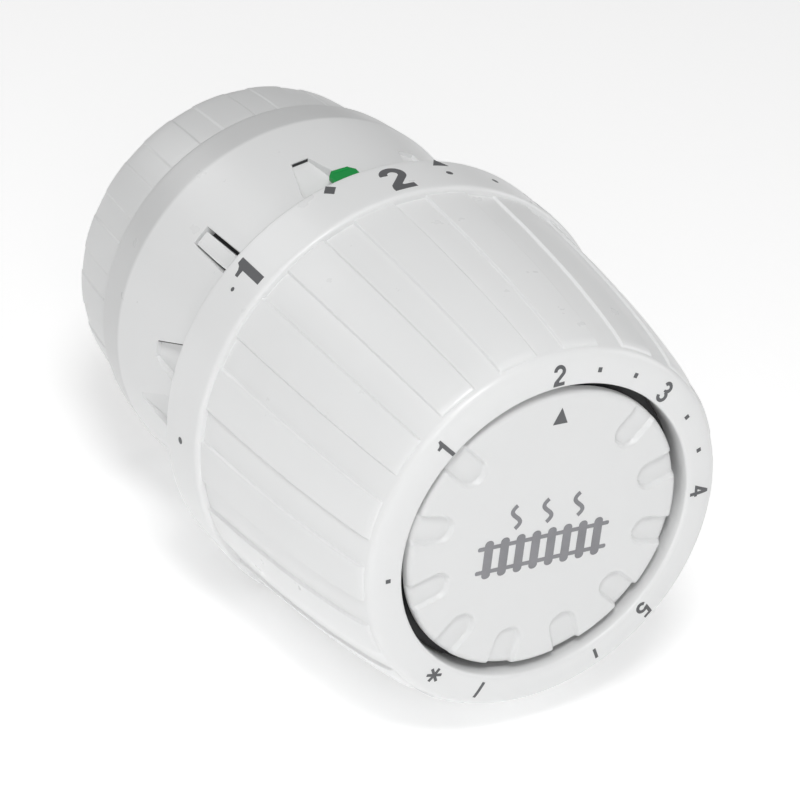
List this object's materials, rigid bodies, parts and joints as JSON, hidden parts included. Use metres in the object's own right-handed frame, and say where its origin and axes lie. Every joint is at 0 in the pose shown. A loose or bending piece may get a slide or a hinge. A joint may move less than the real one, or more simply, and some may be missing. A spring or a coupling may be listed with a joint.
{
  "type": "thermostatic radiator valve head",
  "caption": "Thermostatic radiator valve head: ribbed white handle with number ring, stationary end disc with pointer, conical base and fluted M30 coupling collar.",
  "frame": {"origin": "centre of the mouth of the coupling thread, in the rear face of the coupling collar", "axes": "+Y out of the rear, along the axis towards the valve body; -Y towards the end disc; +Z towards the disc's pointer; +X to the right as seen from the front"},
  "size_m": [0.054, 0.0732, 0.054],
  "materials": {
    "white_shell": "satin moulded",
    "white_disc": "fine satin moulded",
    "nickel_plate": "satin nickel plate over brass",
    "spring_steel": "drawn",
    "polished_steel": "ground",
    "natural_pom": "matte moulded",
    "black_pom": "matte moulded",
    "grey_pom": "matte moulded",
    "black_rubber": "matte",
    "drawn_aluminium": "drawn satin",
    "bellows_brass": "rolled",
    "copper": "drawn copper",
    "green_plastic": "satin moulded",
    "red_plastic": "satin moulded",
    "scale_print": "pad printed"
  },
  "bodies": {
    "base": {"base_housing": "white_shell", "adapter_bush": "nickel_plate", "bush_circlip": "spring_steel", "pin_guide": "black_pom", "guide_frame": "black_pom", "brake_ring": "black_rubber", "end_disc": "white_disc"},
    "collar": {"coupling_collar": "white_shell", "threaded_insert": "nickel_plate"},
    "handle": {"handle_shell": "white_shell", "drive_ring": "black_pom", "stop_ring": "grey_pom"},
    "carrier": {"sensor_carrier": "natural_pom", "carrier_cap": "natural_pom", "overtravel_spring": "spring_steel"},
    "capsule": {"sensor_can": "drawn_aluminium", "can_end_plate": "spring_steel", "fill_tube": "copper", "bellows": "bellows_brass"},
    "plunger": {"bellows_cup": "black_pom", "push_pin": "polished_steel"},
    "max_pin": {"limiter_pin_max": "green_plastic"},
    "min_pin": {"limiter_pin_min": "red_plastic"}
  },
  "joints": [
    {"name": "collar_spin", "type": "hinge", "parent": "base", "child": "collar", "pos_m": [0, 0, 0], "axis": [0, 1, 0], "continuous": true},
    {"name": "handle_turn", "type": "hinge", "parent": "base", "child": "handle", "pos_m": [0, -0.05, 0], "axis": [0, -1, 0], "range_deg": [-160, 152]},
    {"name": "sensor_feed", "type": "slide", "parent": "base", "child": "carrier", "axis": [0, -1, 0], "range_m": [-0.0024, 0.00228]},
    {"name": "overtravel", "type": "slide", "parent": "carrier", "child": "capsule", "axis": [0, -1, 0], "range_m": [0, 0.0018], "stiffness_N_per_m": 3000, "springref_m": -0.003, "deforming": ["overtravel_spring"]},
    {"name": "thermal_stroke", "type": "slide", "parent": "capsule", "child": "plunger", "axis": [0, 1, 0], "range_m": [0, 0.003], "stiffness_N_per_m": 1500, "springref_m": -0.001, "deforming": ["bellows"]},
    {"name": "max_pin_pull", "type": "slide", "parent": "base", "child": "max_pin", "axis": [-0.0132, 0.9955, 0.0937], "range_m": [0, 0.008]},
    {"name": "min_pin_pull", "type": "slide", "parent": "base", "child": "min_pin", "axis": [0.0501, 0.9955, -0.0802], "range_m": [0, 0.008]}
  ],
  "couplings": [
    {"joint": "handle_turn", "follows": "sensor_feed", "rad_per_m": 1163.6}
  ]
}
